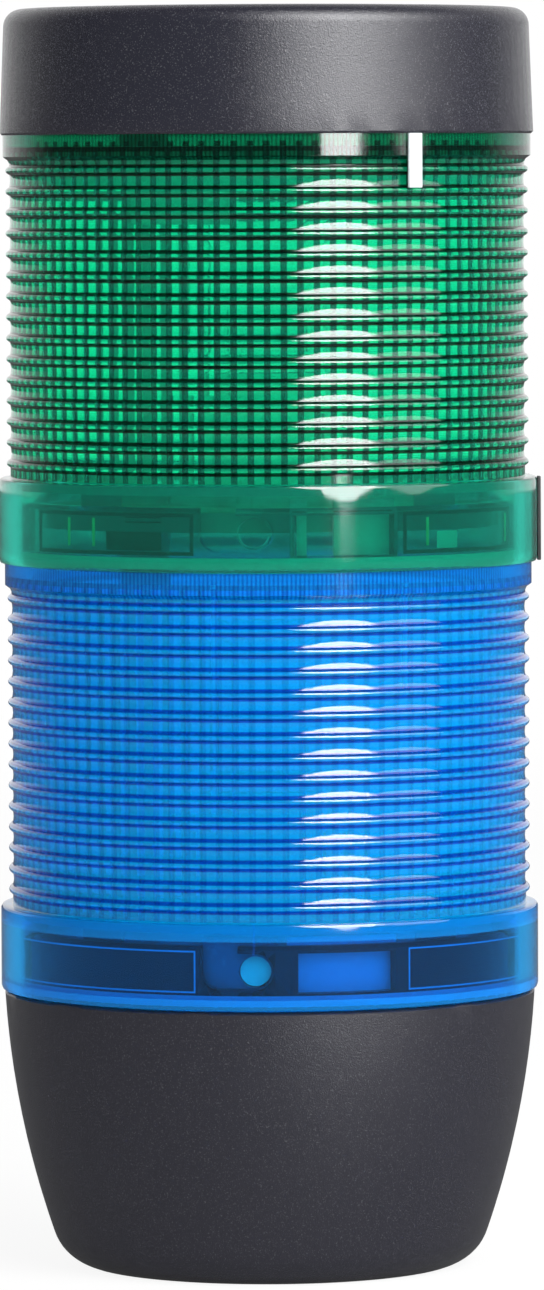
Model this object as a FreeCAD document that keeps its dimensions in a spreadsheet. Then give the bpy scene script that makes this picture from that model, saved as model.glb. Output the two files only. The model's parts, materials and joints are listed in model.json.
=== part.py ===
import FreeCAD, Part
import math
import operator
import os
import Sketcher

# Modular stack light: a tapered base, a blue module and a green module under a cap.
# Each piece above the base plugs over the neck of the piece below and locks with a
# short twist: three round lugs inside its collar run in three J-shaped slots.
# Millimetres, +Z up, origin at the centre of the base's underside, front towards -Y.

SIZES = [
    # The tower and its module pitch
    ("collar_radius", "35", "outside of each module's collar"),
    ("collar_height", "11.1", "height of the plain collar"),
    ("module_pitch", "55.5", "collar to collar"),
    ("base_height", "36", "underside to the shoulder of the base"),
    ("cap_height", "16.3", "rim to the top of the cap"),
    # The bayonet neck
    ("neck_radius", "32.3", "outside of the neck"),
    ("neck_height", "8.2", "neck above its shoulder"),
    ("neck_wall", "1.8", "wall of the neck"),
    ("neck_chamfer", "0.5", "lead-in at the top of the neck"),
    ("turning_gap", "0.08", "radial running clearance of collar on neck"),
    ("loose_gap", "0.3", "clearance between pieces that only pass each other"),
    ("lug_radius", "2", "round lug inside the collar"),
    ("lug_level", "5", "lug centre above the collar's lower edge"),
    ("lug_angle", "3.2", "front lug, degrees to the left of the front"),
    ("twist_angle", "8", "unlocking twist in degrees"),
    ("lug_count", "3", "lugs and slots round the neck"),
    ("window_angle", "17.5", "contact window, degrees to the right of the front"),
    ("window_width", "12.6", "contact window in the neck"),
    ("window_rim", "0.9", "neck left above the window"),
    ("key_angle", "67", "keyways, degrees to each side of the front"),
    ("key_width", "2.2", "keyway in the neck"),
    # The seal that sits in a groove round the foot of each neck
    ("seal_level", "0.6", "groove above the shoulder"),
    ("seal_height", "1.3", "height of the seal"),
    ("seal_depth", "0.9", "depth of its groove"),
    # The lens wall
    ("lens_radius", "33.45", "outside of the wall between ribs"),
    ("lens_wall", "1.55", "wall between ribs and flutes"),
    ("rib_height", "0.5", "horizontal rib above the wall"),
    ("rib_root", "1.1", "rib width at the wall"),
    ("rib_pitch", "2.71", "spacing of the ribs"),
    ("rib_count", "15", "ribs on one lens"),
    ("rib_start", "1.9", "first rib above the collar"),
    ("flute_count", "96", "upright flutes inside the wall"),
    ("flute_width", "1.8", "width of one flute"),
    ("flute_depth", "0.4", "depth of one flute"),
    ("band_radius", "34.27", "plain band under the shoulder"),
    ("band_height", "2.8", "height of that band"),
    ("collar_edge", "0.45", "chamfer at the collar's upper edge"),
    ("collar_chamfer", "0.6", "chamfer at the collar's lower edge"),
    # The cap
    ("cap_rim_radius", "34.64", "outside at the rim"),
    ("cap_top_radius", "34.1", "outside just below the rounded edge"),
    ("cap_edge_radius", "2.3", "rounding of the top edge"),
    ("cap_wall", "2.2", "wall of the cap"),
    ("cap_rib_count", "6", "ribs under the roof"),
    # The base
    ("base_top_radius", "34.54", "outside under the shoulder"),
    ("base_foot_radius", "28.3", "outside at the top of the foot rounding"),
    ("base_flat_radius", "24", "flat underside"),
    ("foot_rise", "4.2", "height of the foot rounding"),
    ("foot_rounding", "6.5", "radius of that rounding"),
    ("barrel_bow", "117.5", "radius of the barrel's long curve"),
    ("base_wall", "2.2", "wall of the base"),
    ("tube_radius", "12.5", "standard mounting tube"),
    ("tube_gap", "0.1", "clearance of the tube in its socket"),
    ("socket_depth", "22", "depth of the tube socket"),
    ("socket_wall", "2.8", "wall round the tube socket"),
    ("cable_radius", "9.5", "cable way above the tube"),
    ("web_count", "6", "webs between socket and barrel"),
    ("web_thickness", "2", "thickness of a web"),
    ("carrier_level", "30", "seat of the terminal carrier"),
    ("carrier_thickness", "2.4", "terminal carrier"),
    ("clamp_level", "12", "height of the clamp screw"),
    ("clamp_radius", "2.4", "clamp screw"),
    ("clamp_boss", "5", "boss round the clamp screw"),
    ("clamp_angle", "180", "clamp screw, degrees round from the front"),
    # The inner parts of a module
    ("plate_radius", "29.5", "contact plate inside the neck below"),
    ("plate_level", "5", "underside of the plate above the collar's lower edge"),
    ("plate_thickness", "2.5", "contact plate"),
    ("plate_hole", "6", "hole in the middle of the plates"),
    ("plate_skirt", "1.6", "wall between the plate and its flange"),
    ("skirt_opening", "76", "openings in that wall, degrees"),
    ("skirt_posts", "4", "openings in that wall"),
    ("flange_thickness", "1.4", "flange that carries the plate"),
    ("socket_radius", "10", "lamp socket, outside"),
    ("socket_height", "14", "lamp socket"),
    ("socket_floor", "1.5", "floor of the lamp socket"),
    ("socket_flange", "3", "foot of the lamp socket"),
    ("insulator_height", "1", "insulating disc under the bulb"),
    ("pin_radius", "1", "side pins of the bulb"),
    ("pin_level", "5", "side pins above the lower end of the bulb"),
    ("pin_angle", "60", "side pins, degrees to the right of the front"),
    ("bulb_cap_radius", "7.6", "metal cap of the bulb"),
    ("bulb_cap_height", "15", "metal cap of the bulb"),
    ("bulb_radius", "8.5", "glass of the bulb"),
    ("bulb_height", "24", "glass above its metal cap"),
    ("column_width", "6.2", "wiring column"),
    ("column_depth", "9", "wiring column"),
    ("column_offset", "16.4", "wiring column, left of the axis"),
    ("column_setback", "8", "wiring column, behind the axis"),
    ("contact_count", "3", "contacts in a row"),
    ("contact_thickness", "0.8", "brass strip"),
    ("contact_width", "5", "brass strip"),
    ("contact_pitch", "1.9", "spacing of the strips"),
    ("contact_fit", "0.1", "clearance round a strip"),
    ("terminal_width", "12", "terminal block"),
    ("terminal_depth", "8", "terminal block"),
    ("terminal_height", "7.6", "terminal block"),
    ("terminal_screw", "1.5", "radius of a terminal screw"),
    # Marks on the green module
    ("mark_width", "1.95", "white alignment bar"),
    ("mark_height", "6.9", "white alignment bar"),
    ("mark_thickness", "0.5", "bar and strip stand out by this much"),
    ("mark_angle", "33", "white bar, degrees to the right of the front"),
    ("strip_width", "2", "black index strip"),
    ("strip_height", "10.9", "black index strip"),
    ("strip_angle", "90", "index strip, degrees to the right of the front"),
]

document = FreeCAD.newDocument("StackLight")
sheet = document.addObject("Spreadsheet::Sheet", "Sizes")
for row, (alias, amount, meaning) in enumerate(SIZES, start=1):
    sheet.set("A%d" % row, meaning)
    sheet.set("B%d" % row, amount)
    sheet.setAlias("B%d" % row, alias)
document.recompute()


class Size:
    """A size as a formula on the sheet, with the value that the formula has now."""

    def __init__(self, formula, value):
        self.formula = formula
        self.value = value

    def combine(self, other, sign, work):
        if not isinstance(other, Size):
            other = Size("(%g)" % other, other)
        return Size("(%s %s %s)" % (self.formula, sign, other.formula), work(self.value, other.value))

    def __add__(self, other):
        return self.combine(other, "+", operator.add)

    def __sub__(self, other):
        return self.combine(other, "-", operator.sub)

    def __mul__(self, other):
        return self.combine(other, "*", operator.mul)

    def __truediv__(self, other):
        return self.combine(other, "/", operator.truediv)

    def __neg__(self):
        return self * -1


def size(alias):
    return Size("Sizes." + alias, float(sheet.get(alias)))


def sine(angle):
    return Size("sin(%s)" % angle.formula, math.sin(math.radians(angle.value)))


def cosine(angle):
    return Size("cos(%s)" % angle.formula, math.cos(math.radians(angle.value)))


ZERO = Size("0", 0)
loose_gap = size("loose_gap")
collar_radius = size("collar_radius")
collar_height = size("collar_height")
module_pitch = size("module_pitch")
base_height = size("base_height")
neck_radius = size("neck_radius")
neck_height = size("neck_height")
neck_inside = neck_radius - size("neck_wall")
bore_radius = neck_radius + size("turning_gap")
lug_radius = size("lug_radius")
lug_level = size("lug_level")
lug_angle = size("lug_angle")
seal_floor = neck_radius - size("seal_depth")
seal_level = size("seal_level")
seal_top = seal_level + size("seal_height")
lens_radius = size("lens_radius")
band_radius = size("band_radius")
wall_inside = lens_radius - size("lens_wall")
plate_level = size("plate_level")
plate_top = plate_level + size("plate_thickness")
flange_level = collar_height - size("flange_thickness")
column_top = module_pitch + plate_level - loose_gap * 2
carrier_top = size("carrier_level") + size("carrier_thickness")


def tie(piece, **sizes):
    """Drive properties of a piece from sizes."""
    for name, amount in sizes.items():
        piece.setExpression(name, amount.formula)


def new_body(label, level=ZERO, turn=ZERO):
    """A body standing at a level, turned about the tower's axis, to the right if positive."""
    body = document.addObject("PartDesign::Body", label)
    body.Label = label
    body.Placement = FreeCAD.Placement(
        FreeCAD.Vector(0, 0, level.value), FreeCAD.Rotation(FreeCAD.Vector(0, 0, 1), turn.value)
    )
    body.setExpression(".Placement.Base.z", level.formula)
    if turn is not ZERO:
        body.setExpression(".Placement.Rotation.Angle", turn.formula)
    return body


def origin_feature(body, role):
    for feature in body.Origin.OriginFeatures:
        if feature.Role == role:
            return feature


def new_sketch(body, name, plane, turn, lift):
    """A sketch on an origin plane: an upright one is turned about Z and lifted outwards."""
    sketch = body.newObject("Sketcher::SketchObject", body.Label + "_" + name)
    sketch.AttachmentSupport = [(origin_feature(body, plane), "")]
    sketch.MapMode = "FlatFace"
    if plane == "XY_Plane":
        sketch.AttachmentOffset = FreeCAD.Placement(FreeCAD.Vector(0, 0, lift.value), FreeCAD.Rotation())
        if lift is not ZERO:
            sketch.setExpression(".AttachmentOffset.Base.z", lift.formula)
        return sketch
    side = 1
    amount = turn
    if turn.value < 0:
        side = -1
        amount = -turn
    across = lift * sine(turn)
    outwards = lift * cosine(turn)
    sketch.AttachmentOffset = FreeCAD.Placement(
        FreeCAD.Vector(across.value, 0, outwards.value),
        FreeCAD.Rotation(FreeCAD.Vector(0, side, 0), amount.value),
    )
    if lift is not ZERO:
        sketch.setExpression(".AttachmentOffset.Base.x", across.formula)
        sketch.setExpression(".AttachmentOffset.Base.z", outwards.formula)
    if turn is not ZERO:
        sketch.setExpression(".AttachmentOffset.Rotation.Angle", amount.formula)
    return sketch


def pin_point(sketch, edge, end, across, up):
    """Hold one end of an edge at a place measured from the sketch's origin."""
    for amount, kind, axis in ((across, "DistanceX", -2), (up, "DistanceY", -1)):
        if amount is ZERO:
            sketch.addConstraint(Sketcher.Constraint("PointOnObject", edge, end, axis))
        else:
            index = sketch.addConstraint(Sketcher.Constraint(kind, -1, 1, edge, end, amount.value))
            sketch.setExpression("Constraints[%d]" % index, amount.formula)


def arc_between(first, last, radius):
    """The short arc from first to last; it turns left where the radius is positive."""
    chord = last - first
    half = chord.Length / 2
    left = FreeCAD.Vector(-chord.y, chord.x, 0).normalize()
    bend = math.copysign(math.sqrt(max(radius * radius - half * half, 0)), radius)
    centre = first + chord / 2 + left * bend
    start, stop = (first, last) if radius > 0 else (last, first)
    circle = Part.Circle(centre, FreeCAD.Vector(0, 0, 1), abs(radius))
    angles = [math.atan2(end.y - centre.y, end.x - centre.x) for end in (start, stop)]
    return Part.ArcOfCircle(circle, angles[0], angles[1])


def outline(body, name, corners, plane="XZ_Plane", turn=ZERO, lift=ZERO):
    """A closed outline through corners (across, up); a third entry is the radius of the arc
    that leads to the corner, positive where the arc turns left."""
    sketch = new_sketch(body, name, plane, turn, lift)
    ends = []
    for index, corner in enumerate(corners):
        before = corners[index - 1]
        first = FreeCAD.Vector(before[0].value, before[1].value, 0)
        last = FreeCAD.Vector(corner[0].value, corner[1].value, 0)
        if len(corner) == 2:
            edge = sketch.addGeometry(Part.LineSegment(first, last))
            ends.append((edge, 1, 2))
            continue
        radius = corner[2]
        edge = sketch.addGeometry(arc_between(first, last, radius.value))
        ends.append((edge, 1, 2) if radius.value > 0 else (edge, 2, 1))
    for index, (edge, start, stop) in enumerate(ends):
        earlier, _, earlier_stop = ends[index - 1]
        sketch.addConstraint(Sketcher.Constraint("Coincident", earlier, earlier_stop, edge, start))
    for corner, (edge, start, stop) in zip(corners, ends):
        pin_point(sketch, edge, stop, corner[0], corner[1])
        if len(corner) == 3:
            radius = corner[2] if corner[2].value > 0 else -corner[2]
            index = sketch.addConstraint(Sketcher.Constraint("Radius", edge, radius.value))
            sketch.setExpression("Constraints[%d]" % index, radius.formula)
    return sketch


def rectangle(body, name, left, right, low, high, **place):
    corners = [(left, low), (right, low), (right, high), (left, high)]
    return outline(body, name, corners, **place)


def disc(body, name, across, up, radius, plane="XZ_Plane", turn=ZERO, lift=ZERO):
    sketch = new_sketch(body, name, plane, turn, lift)
    centre = FreeCAD.Vector(across.value, up.value, 0)
    edge = sketch.addGeometry(Part.Circle(centre, FreeCAD.Vector(0, 0, 1), radius.value))
    pin_point(sketch, edge, 3, across, up)
    index = sketch.addConstraint(Sketcher.Constraint("Radius", edge, radius.value))
    sketch.setExpression("Constraints[%d]" % index, radius.formula)
    return sketch


def add_feature(body, kind, sketch):
    feature = body.newObject("PartDesign::" + kind, sketch.Label + "_" + kind.lower())
    feature.Profile = sketch
    sketch.Visibility = False
    body.Tip = feature
    return feature


def revolve(body, sketch, kind="Revolution"):
    """Spin a profile about the body's upright axis."""
    feature = add_feature(body, kind, sketch)
    feature.ReferenceAxis = (origin_feature(body, "Z_Axis"), [""])
    feature.Angle = 360
    return feature


def pad(body, sketch, length):
    feature = add_feature(body, "Pad", sketch)
    tie(feature, Length=length)
    return feature


def pocket(body, sketch, length):
    """Cut along the sketch's normal: outwards from an upright plane, upwards from a flat one."""
    feature = add_feature(body, "Pocket", sketch)
    feature.Reversed = True
    tie(feature, Length=length)
    return feature


def repeat_round(body, feature, count, angle=None):
    """Copies about the axis: all the way round, or over the angle from the first to the last."""
    pattern = body.newObject("PartDesign::PolarPattern", feature.Label + "_round")
    pattern.Originals = [feature]
    pattern.Axis = (origin_feature(body, "Z_Axis"), [""])
    pattern.Angle = 360
    if angle is not None:
        tie(pattern, Angle=angle)
    tie(pattern, Occurrences=count)
    body.Tip = pattern
    return pattern


def repeat_along(body, feature, role, count, pitch):
    """Copies in a line along one of the body's axes."""
    pattern = body.newObject("PartDesign::LinearPattern", feature.Label + "_row")
    pattern.Originals = [feature]
    pattern.Direction = (origin_feature(body, role), [""])
    pattern.Mode = "Extent"
    tie(pattern, Occurrences=count, Length=pitch * (count - 1))
    body.Tip = pattern
    return pattern


def add_lugs(body):
    """Round lugs on the bore of a collar; they reach through the neck's wall."""
    root = bore_radius + loose_gap * 2
    sketch = disc(body, "lug", ZERO, lug_level, lug_radius, turn=-lug_angle, lift=neck_inside)
    lug = pad(body, sketch, root - neck_inside)
    repeat_round(body, lug, size("lug_count"))


def cut_bayonet(body, shoulder):
    """The neck's cut-outs above its shoulder: J slots, contact window and keyways."""
    half_twist = size("twist_angle") / 2
    reach = neck_radius * sine(half_twist)
    width = lug_radius + loose_gap
    level = shoulder + lug_level
    above = shoulder + neck_height + loose_gap
    slot_corners = [
        (-reach, level - width, width),
        (reach, level - width),
        (reach + width, level, width),
        (reach, level + width, width),
        (width - reach, level + width),
        (width - reach, above),
        (-reach - width, above),
        (-reach - width, level),
    ]
    sketch = outline(body, "slot", slot_corners, turn=-lug_angle - half_twist)
    repeat_round(body, pocket(body, sketch, collar_radius), size("lug_count"))

    low = shoulder + seal_top + loose_gap
    high = shoulder + neck_height - size("window_rim")
    half = size("window_width") / 2
    sketch = rectangle(body, "window", -half, half, low, high, turn=size("window_angle"))
    pocket(body, sketch, collar_radius)

    half = size("key_width") / 2
    sketch = rectangle(body, "key", -half, half, low, above, turn=-size("key_angle"))
    repeat_round(body, pocket(body, sketch, collar_radius), Size("2", 2), size("key_angle") * 2)


def neck_corners(shoulder):
    """Outside of a neck from its shoulder to the inner edge of its rim."""
    top = shoulder + neck_height
    chamfer = size("neck_chamfer")
    return [
        (neck_radius, shoulder),
        (neck_radius, shoulder + seal_level),
        (seal_floor, shoulder + seal_level),
        (seal_floor, shoulder + seal_top),
        (neck_radius, shoulder + seal_top),
        (neck_radius, top - chamfer),
        (neck_radius - chamfer, top),
        (neck_inside, top),
    ]


def make_lens(colour, level):
    """One clear moulding: collar with lugs, ribbed and fluted wall, band and neck."""
    body = new_body(colour + "_lens", level)
    chamfer = size("collar_chamfer")
    edge = size("collar_edge")
    band_low = module_pitch - size("band_height")
    band_foot = band_low + lens_radius - band_radius
    wall_top = band_low + neck_inside - wall_inside
    half_rib = size("rib_root") / 2
    corners = [
        (bore_radius, ZERO),
        (collar_radius - chamfer, ZERO),
        (collar_radius, chamfer),
        (collar_radius, collar_height - edge),
        (collar_radius - edge, collar_height),
        (lens_radius, collar_height),
    ]
    for number in range(int(size("rib_count").value)):
        middle = collar_height + size("rib_start") + size("rib_pitch") * number
        corners.append((lens_radius, middle - half_rib))
        corners.append((lens_radius + size("rib_height"), middle))
        corners.append((lens_radius, middle + half_rib))
    corners += [
        (lens_radius, band_foot),
        (band_radius, band_low),
        (band_radius, module_pitch),
        *neck_corners(module_pitch),
        (neck_inside, band_low),
        (wall_inside, wall_top),
        (wall_inside, collar_height),
        (bore_radius, collar_height),
    ]
    revolve(body, outline(body, "wall", corners))
    add_lugs(body)
    cut_bayonet(body, module_pitch)

    depth = size("flute_depth")
    half = size("flute_width") / 2 * (depth + loose_gap) / depth
    crest = wall_inside - loose_gap
    corners = [(-half, -crest), (ZERO, -wall_inside - depth), (half, -crest)]
    sketch = outline(body, "flute", corners, plane="XY_Plane", lift=collar_height)
    flute = pocket(body, sketch, wall_top - half_rib - collar_height)
    repeat_round(body, flute, size("flute_count"))


def make_seal(name, level, shoulder):
    """Soft ring in the groove at the foot of a neck."""
    body = new_body(name, level)
    sketch = rectangle(
        body, "ring", seal_floor, neck_radius, shoulder + seal_level, shoulder + seal_top
    )
    revolve(body, sketch)


def make_contact_plate(colour, level):
    """Black plate that hangs inside the neck below from a flange under the lens wall."""
    body = new_body(colour + "_contact_plate", level)
    rim = size("plate_radius")
    inside = rim - size("plate_skirt")
    hub = size("plate_hole")
    flange = bore_radius - size("turning_gap")
    corners = [
        (hub, plate_level),
        (rim, plate_level),
        (rim, flange_level),
        (flange, flange_level),
        (flange, collar_height),
        (inside, collar_height),
        (inside, plate_top),
        (hub, plate_top),
    ]
    revolve(body, outline(body, "disc", corners))
    half = rim * sine(size("skirt_opening") / 2)
    sketch = rectangle(body, "gap", -half, half, plate_top, flange_level)
    repeat_round(body, pocket(body, sketch, rim), size("skirt_posts"))

    # Slots that the brass strips pass through
    width = size("contact_thickness") / 2 + size("contact_fit")
    depth = size("contact_width") / 2 + size("contact_fit")
    first = -size("column_offset") - size("contact_pitch")
    middle = size("column_setback")
    sketch = rectangle(
        body, "pass", first - width, first + width, middle - depth, middle + depth,
        plane="XY_Plane", lift=plate_level - loose_gap,
    )
    slot = pocket(body, sketch, plate_top - plate_level + loose_gap * 2)
    repeat_along(body, slot, "X_Axis", size("contact_count"), size("contact_pitch"))


def make_column(name, level, foot, top):
    """Moulded post that guides the brass strips from one unit up to the next."""
    body = new_body(name, level)
    half = size("column_width") / 2
    left = -size("column_offset") - half
    right = half - size("column_offset")
    front = size("column_setback") - size("column_depth") / 2
    back = size("column_setback") + size("column_depth") / 2
    sketch = rectangle(body, "post", left, right, front, back, plane="XY_Plane", lift=foot)
    pad(body, sketch, top - foot)
    width = size("contact_thickness") / 2 + size("contact_fit")
    depth = size("contact_width") / 2 + size("contact_fit")
    first = -size("column_offset") - size("contact_pitch")
    middle = size("column_setback")
    sketch = rectangle(
        body, "groove", first - width, first + width, middle - depth, middle + depth,
        plane="XY_Plane", lift=foot,
    )
    groove = pocket(body, sketch, top - foot + loose_gap)
    repeat_along(body, groove, "X_Axis", size("contact_count"), size("contact_pitch"))


def make_contacts(name, level, foot, top):
    """Brass strips side by side in their column."""
    body = new_body(name, level)
    width = size("contact_thickness") / 2
    depth = size("contact_width") / 2
    first = -size("column_offset") - size("contact_pitch")
    middle = size("column_setback")
    sketch = rectangle(
        body, "strip", first - width, first + width, middle - depth, middle + depth,
        plane="XY_Plane", lift=foot,
    )
    strip = pad(body, sketch, top - foot)
    repeat_along(body, strip, "X_Axis", size("contact_count"), size("contact_pitch"))


def make_lamp(colour, level):
    """Lamp socket, bulb with its metal cap and glass, and the insulator under it."""
    outside = size("socket_radius")
    inside = size("bulb_cap_radius") + loose_gap
    floor = plate_top + size("socket_floor")
    top = plate_top + size("socket_height")
    foot = outside + size("socket_flange")

    socket = new_body(colour + "_lamp_socket", level)
    corners = [
        (ZERO, plate_top),
        (foot, plate_top),
        (foot, floor),
        (outside, floor),
        (outside, top),
        (inside, top),
        (inside, floor),
        (ZERO, floor),
    ]
    revolve(socket, outline(socket, "sleeve", corners))
    half = size("pin_radius") + loose_gap
    pin_level = floor + size("insulator_height") + size("pin_level")
    sketch = rectangle(
        socket, "pin_slot", -half, half, pin_level - half, top + loose_gap, turn=size("pin_angle")
    )
    repeat_round(socket, pocket(socket, sketch, outside + loose_gap), Size("2", 2))

    insulator = new_body(colour + "_lamp_insulator", level)
    lower = floor + size("insulator_height")
    sketch = rectangle(insulator, "disc", ZERO, inside - loose_gap, floor, lower)
    revolve(insulator, sketch)

    bulb_cap = new_body(colour + "_bulb_cap", level)
    upper = lower + size("bulb_cap_height")
    cap_radius = size("bulb_cap_radius")
    sketch = rectangle(bulb_cap, "shell", ZERO, cap_radius, lower, upper)
    revolve(bulb_cap, sketch)
    sketch = disc(bulb_cap, "pin", ZERO, pin_level, size("pin_radius"), turn=size("pin_angle"))
    repeat_round(bulb_cap, pad(bulb_cap, sketch, outside), Size("2", 2))

    glass = new_body(colour + "_bulb_glass", level)
    radius = size("bulb_radius")
    neck = cap_radius - loose_gap * 2
    rise = size("bulb_height")
    shoulder = upper + radius - neck
    dome = upper + rise - radius
    corners = [
        (ZERO, upper),
        (neck, upper),
        (radius, shoulder + (radius - neck)),
        (radius, dome),
        (radius * sine(Size("45", 45)), dome + radius * sine(Size("45", 45)), radius),
        (ZERO, upper + rise, radius),
    ]
    revolve(glass, outline(glass, "bulb", corners))


def make_module(colour, level):
    strip_foot = plate_level - loose_gap / 3
    make_lens(colour, level)
    make_seal(colour + "_seal", level, module_pitch)
    make_contact_plate(colour, level)
    make_column(colour + "_wiring_column", level, plate_top, column_top)
    make_contacts(colour + "_contact_strips", level, strip_foot, column_top + loose_gap / 2)
    make_lamp(colour, level)


def make_marks(level):
    """White alignment bar by the rim of the cap, and black index strip on the collar."""
    half = size("mark_width") / 2
    bar = new_body("alignment_bar", level, turn=size("mark_angle"))
    low = module_pitch - size("mark_height")
    outer = band_radius + size("mark_thickness")
    sketch = rectangle(bar, "bar", -half, half, -outer, -band_radius, plane="XY_Plane", lift=low)
    pad(bar, sketch, size("mark_height"))

    half = size("strip_width") / 2
    strip = new_body("index_strip", level, turn=size("strip_angle"))
    low = (collar_height - size("strip_height")) / 2
    outer = collar_radius + size("mark_thickness")
    sketch = rectangle(
        strip, "bar", -half, half, -outer, -collar_radius, plane="XY_Plane", lift=low
    )
    pad(strip, sketch, size("strip_height"))


def make_cap(level):
    """Black cover with ribs under its roof; it locks on the topmost neck."""
    body = new_body("cap_shell", level)
    height = size("cap_height")
    wall = size("cap_wall")
    rim = size("cap_rim_radius")
    top_radius = size("cap_top_radius")
    edge = size("cap_edge_radius")
    roof = height - wall
    inner = top_radius - wall
    corners = [
        (bore_radius, ZERO),
        (rim - loose_gap, ZERO),
        (rim, loose_gap),
        (top_radius, height - edge),
        (top_radius - edge, height, edge),
        (ZERO, height),
        (ZERO, roof),
        (inner - edge, roof),
        (inner, roof - edge),
        (inner, collar_height),
        (bore_radius, collar_height),
    ]
    revolve(body, outline(body, "shell", corners))
    half = size("web_thickness") / 2
    low = roof - edge
    sketch = rectangle(
        body, "rib", -half, half, edge - inner, -edge, plane="XY_Plane", lift=low
    )
    repeat_round(body, pad(body, sketch, edge + wall / 2), size("cap_rib_count"))
    add_lugs(body)


def make_base():
    """Tapered barrel with the tube socket, its webs, the screw boss and the neck."""
    body = new_body("base_housing")
    wall = size("base_wall")
    flat = size("base_flat_radius")
    foot = size("base_foot_radius")
    top = size("base_top_radius")
    rise = size("foot_rise")
    bow = size("barrel_bow")
    rounding = size("foot_rounding")
    edge = size("collar_edge")
    socket_bore = size("tube_radius") + size("tube_gap")
    socket_outside = socket_bore + size("socket_wall")
    socket_depth = size("socket_depth")
    socket_top = socket_depth + wall
    cable = size("cable_radius")
    narrowing = base_height - wall
    corners = [
        (socket_bore, ZERO),
        (flat, ZERO),
        (foot, rise, rounding),
        (top, base_height - edge, bow),
        (top - edge, base_height),
        *neck_corners(base_height),
        (neck_inside, narrowing),
        (top - wall, narrowing - (top - wall - neck_inside)),
        (foot - wall, rise + wall),
        (flat, wall),
        (socket_outside, wall),
        (socket_outside, socket_top),
        (cable, socket_top),
        (cable, socket_depth),
        (socket_bore, socket_depth),
    ]
    revolve(body, outline(body, "barrel", corners))

    thickness = size("web_thickness")
    seat = size("carrier_level")
    corners = [
        (socket_outside - wall / 2, wall / 2),
        (flat - wall / 2, wall / 2),
        (foot - wall / 2, rise + wall),
        (top - wall / 2, seat),
        (socket_outside - wall / 2, seat),
    ]
    web = pad(body, outline(body, "web", corners), thickness)
    web.Midplane = True
    repeat_round(body, web, size("web_count"))

    # Boss and way in for the screw that clamps the tube, at the back
    level = size("clamp_level")
    screw = size("clamp_radius")
    turn = size("clamp_angle")
    boss = disc(body, "boss", ZERO, level, screw * 2, turn=turn, lift=socket_outside - wall / 2)
    pad(body, boss, size("clamp_boss"))
    way = disc(body, "screw_way", ZERO, level, screw + loose_gap, turn=turn)
    pocket(body, way, collar_radius)
    cut_bayonet(body, base_height)


def make_clamp_screw():
    """Headless screw in the boss, with a hexagon socket in its outer end."""
    body = new_body("clamp_screw")
    start = size("tube_radius") + size("tube_gap") + loose_gap
    level = size("clamp_level")
    radius = size("clamp_radius")
    turn = size("clamp_angle")
    shank = disc(body, "shank", ZERO, level, radius, turn=turn, lift=start)
    length = size("socket_wall") + size("clamp_boss") - loose_gap * 2
    pad(body, shank, length)
    key = radius / 2
    corners = []
    for corner in range(6):
        angle = Size("%d" % (60 * corner), 60 * corner)
        corners.append((key * cosine(angle), level + key * sine(angle)))
    hexagon = outline(body, "key", corners, turn=turn, lift=start + length / 2)
    pocket(body, hexagon, length)


def make_terminals():
    """Carrier plate on the webs, terminal block behind the contact window, its screws."""
    low = size("carrier_level")
    carrier = new_body("terminal_carrier")
    sketch = rectangle(carrier, "plate", size("plate_hole"), neck_inside - loose_gap, low, carrier_top)
    revolve(carrier, sketch)

    turn = size("window_angle")
    half = size("terminal_width") / 2
    depth = size("terminal_depth")
    height = size("terminal_height")
    front = size("plate_radius") - loose_gap * 4
    block = new_body("terminal_block", carrier_top, turn=turn)
    sketch = rectangle(block, "body", -half, half, -front, depth - front, plane="XY_Plane")
    pad(block, sketch, height)
    screw = size("terminal_screw")
    pitch = size("terminal_width") / size("contact_count")
    first = pitch / 2 - half
    middle = depth / 2 - front
    well = disc(
        block, "well", first, middle, screw + loose_gap, plane="XY_Plane", lift=height / 2
    )
    repeat_along(block, pocket(block, well, height), "X_Axis", size("contact_count"), pitch)
    entry = disc(block, "entry", first, height / 4, screw)
    repeat_along(block, pocket(block, entry, front + loose_gap), "X_Axis", size("contact_count"), pitch)

    screws = new_body("terminal_screws", carrier_top, turn=turn)
    head = disc(screws, "head", first, middle, screw, plane="XY_Plane", lift=height / 2)
    repeat_along(
        screws, pad(screws, head, height / 2 - loose_gap), "X_Axis", size("contact_count"), pitch
    )


make_base()
make_seal("base_seal", ZERO, base_height)
make_clamp_screw()
make_terminals()
contact_level = base_height + plate_level
make_column("base_wiring_column", ZERO, carrier_top, contact_level - loose_gap * 2)
make_contacts("base_contact_strips", ZERO, carrier_top, contact_level - loose_gap * 3 / 2)
make_module("blue", base_height)
make_module("green", base_height + module_pitch)
make_marks(base_height + module_pitch)
make_cap(base_height + module_pitch * 2)
document.recompute()

faults = []
for item in document.Objects:
    if "Invalid" in item.State or "Error" in item.State:
        faults.append("%s: %s" % (item.Label, item.getStatusString()))
bodies = [item for item in document.Objects if item.TypeId == "PartDesign::Body"]
for body in bodies:
    if body.Shape.isNull() or not body.Shape.isValid():
        faults.append("%s has no valid shape" % body.Label)
if faults:
    raise RuntimeError("; ".join(faults))

os.makedirs("parts", exist_ok=True)
for body in bodies:
    body.Shape.exportStep("parts/%s.step" % body.Label)
    print("%-22s %10.1f mm3" % (body.Label, body.Shape.Volume))
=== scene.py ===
# %% [markdown]
# A stack light stands on machines and tells people from afar what the machine is doing. This one
# has a black cap, a green and a blue light module and a tapered black base. The solids of all its
# pieces come from the CAD frame. This lesson dresses them: it rebuilds the two clear mouldings
# with softer ribs and flutes, smooths the black shells, and gives each surface its own finish.

# %% Load the frame
import bpy
import bmesh
import json
import math
from mathutils import Matrix, Vector

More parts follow.
